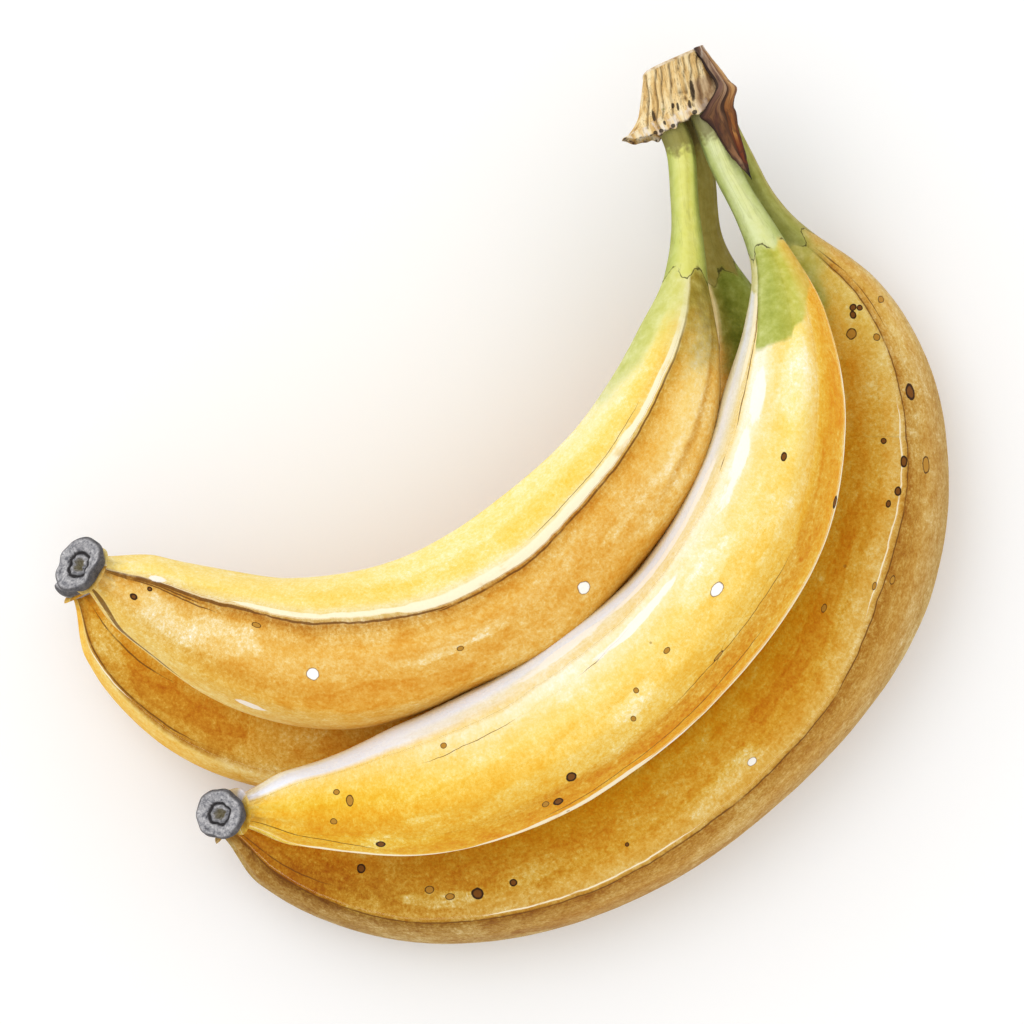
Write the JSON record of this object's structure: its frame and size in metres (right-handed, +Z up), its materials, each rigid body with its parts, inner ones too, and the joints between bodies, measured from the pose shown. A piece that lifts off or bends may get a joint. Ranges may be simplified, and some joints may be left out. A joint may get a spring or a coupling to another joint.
{
  "type": "bunch of bananas",
  "caption": "Bunch of curved yellow bananas lying on its side in two layers, joined by green stalks at a woody cut crown with a dried bract, each with a dark blossom end.",
  "frame": {"origin": "centre of the bottom of the bunch's box, on the surface it lies on", "axes": "+Z up from the surface; +Y towards the crown's cut end; +X towards the outer, convex side of the bunch"},
  "size_m": [0.2144, 0.2146, 0.0725],
  "materials": {
    "peel": "waxy banana peel, yellow with green necks, cream ridges and brown freckles",
    "blossom_end": "dry, corky, grey to black",
    "crown": "dry, fibrous, tan, with a pale cut edge",
    "bract": "dried leaf, dark brown, creased"
  },
  "bodies": {
    "root": {"banana_a": "peel", "banana_b": "peel", "banana_c": "peel", "banana_d": "peel", "blossom_end_a": "blossom_end", "blossom_end_b": "blossom_end", "blossom_end_c": "blossom_end", "blossom_end_d": "blossom_end", "crown": "crown", "dried_bract": "bract"}
  },
  "joints": []
}
